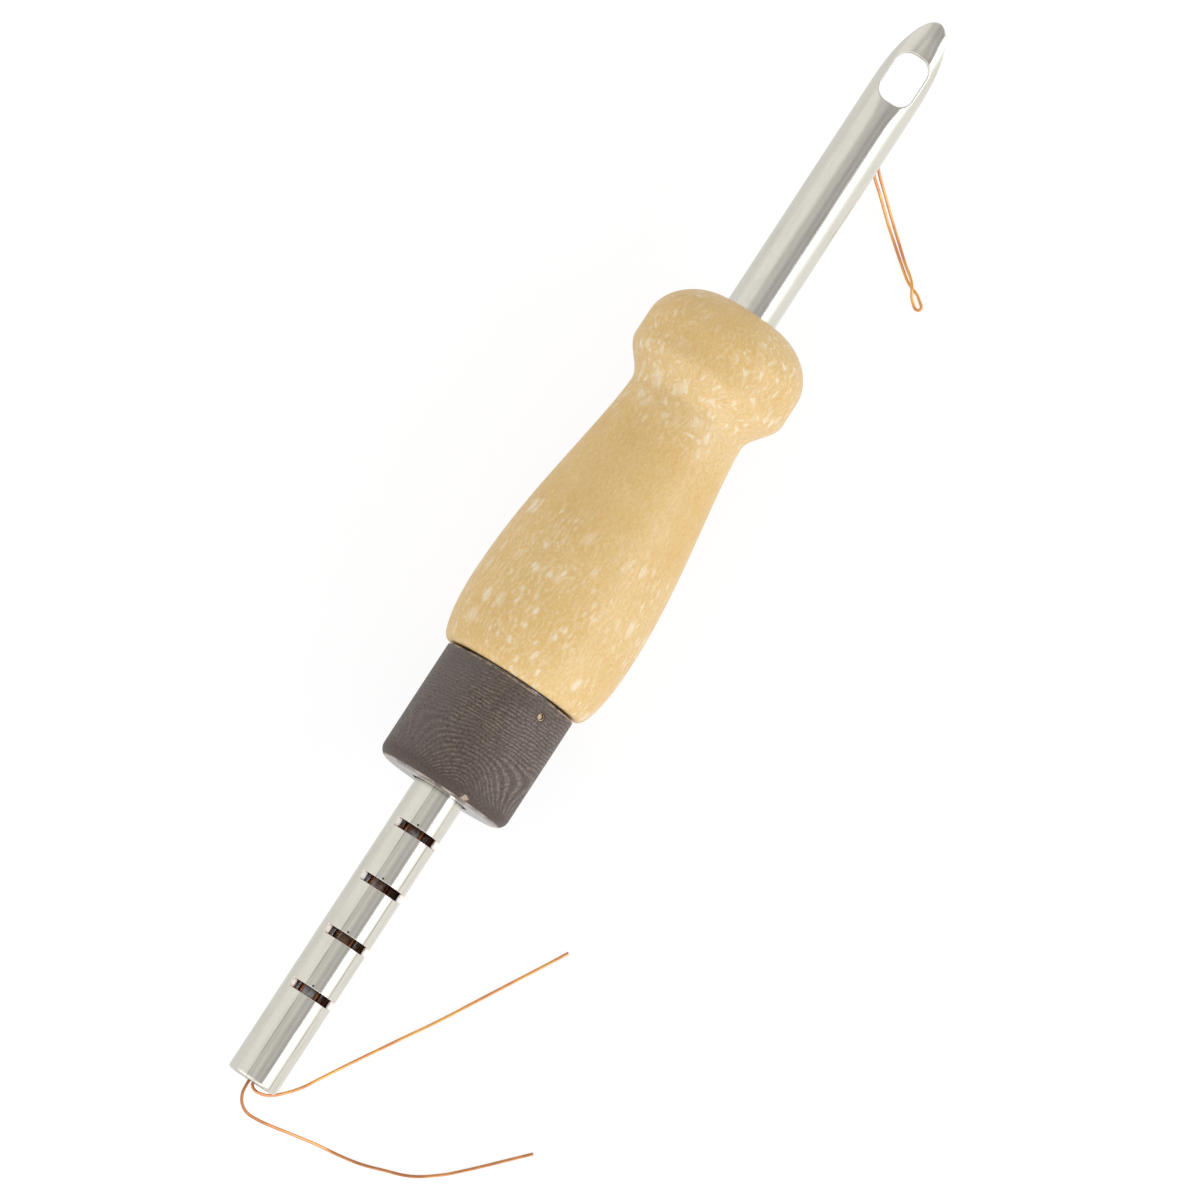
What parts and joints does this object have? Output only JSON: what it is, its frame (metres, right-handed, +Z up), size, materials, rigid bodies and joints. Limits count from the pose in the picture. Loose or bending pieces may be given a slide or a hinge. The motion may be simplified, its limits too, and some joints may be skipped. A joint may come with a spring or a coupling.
{
  "type": "punch needle",
  "caption": "Adjustable punch needle for bulky yarn: a bevelled steel tube in a waisted hand grip, locked at notches by a turning rear collar, with a wire threader.",
  "frame": {"origin": "on the table under the middle of the tool, which lies on its grip's belly", "axes": "+X along the needle towards its tip, +Z up, with the eye and the notches facing up; the threader lies on the -Y side"},
  "size_m": [0.1633, 0.0467, 0.0232],
  "materials": {
    "grip": "satin wood-fibre composite with pale flecks",
    "collar": "matte, dark brown-grey",
    "steel": "drawn and polished tube",
    "sleeve": "turned",
    "brass": "dull",
    "copper": "enamelled copper wire",
    "rubber": "matte"
  },
  "bodies": {
    "grip": {"handle_grip": "grip", "core_sleeve": "sleeve", "friction_ring": "rubber"},
    "collar": {"lock_collar": "collar", "collar_pin": "brass"},
    "fork": {"lock_fork": "sleeve"},
    "needle": {"needle_tube": "steel", "threader_strands": "copper", "threader_loop": "copper", "threader_tail_long": "copper", "threader_tail_short": "copper"}
  },
  "joints": [
    {"name": "collar_turn", "type": "hinge", "parent": "grip", "child": "collar", "pos_m": [-0.0283, 0, 0.0116], "axis": [1, 0, 0], "range_deg": [0, 90]},
    {"name": "fork_slide", "type": "slide", "parent": "grip", "child": "fork", "axis": [0, 0.3584, -0.9336], "range_m": [0, 0.00233]},
    {"name": "needle_slide", "type": "slide", "parent": "grip", "child": "needle", "axis": [1, 0, 0], "range_m": [0, 0.032]}
  ],
  "couplings": [
    {"joint": "fork_slide", "follows": "collar_turn", "m_per_rad": 0.001477}
  ]
}
